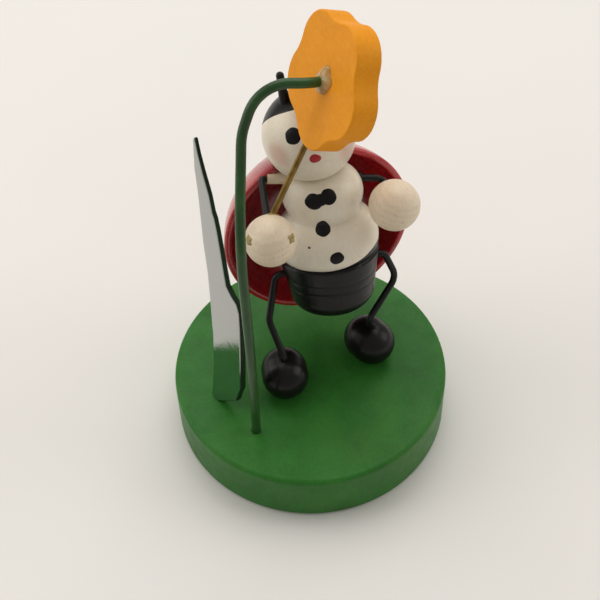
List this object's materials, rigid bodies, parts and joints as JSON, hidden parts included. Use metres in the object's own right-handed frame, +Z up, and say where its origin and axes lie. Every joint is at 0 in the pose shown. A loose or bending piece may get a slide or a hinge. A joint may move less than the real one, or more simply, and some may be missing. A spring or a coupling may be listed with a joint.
{
  "type": "turned-wood ladybird child figurine",
  "caption": "Turned-wood ladybird child on a round green base, under an orange wooden blossom on a bent green wire stem and beside a green leaf board",
  "frame": {"origin": "centre of the underside of the round base", "axes": "+Z is up; -Y is the side the figure looks toward; +X is the viewer's right when facing the figure"},
  "size_m": [0.045, 0.0467, 0.0749],
  "materials": {
    "green_base_lacquer": "satin",
    "green_wire_paint": "satin",
    "orange_lacquer": "satin",
    "dried_glue": "gloss",
    "leaf_green_lacquer": "gloss",
    "white_lacquer": "satin",
    "black_lacquer": "gloss",
    "black_wire": "satin",
    "cream_wood": "satin",
    "raw_dowel_wood": "matte",
    "red_lacquer": "gloss",
    "brass": "satin"
  },
  "bodies": {
    "root": {"base_disc": "green_base_lacquer", "flower_stem": "green_wire_paint", "blossom": "orange_lacquer", "stem_glue_bead": "dried_glue", "leaf_board": "leaf_green_lacquer", "trousers": "black_lacquer", "torso": "white_lacquer", "shoulder_dowel": "cream_wood", "head": "white_lacquer", "neck_dowel": "raw_dowel_wood", "feeler_left": "black_lacquer", "feeler_right": "black_lacquer", "wing_shell": "red_lacquer", "shell_peg": "raw_dowel_wood", "arm_wire_left": "black_wire", "arm_wire_right": "black_wire", "hand_left": "cream_wood", "hand_right": "cream_wood", "holding_rod": "brass", "leg_wire_left": "black_wire", "leg_wire_right": "black_wire", "shoe_left": "black_lacquer", "shoe_right": "black_lacquer"}
  },
  "joints": []
}
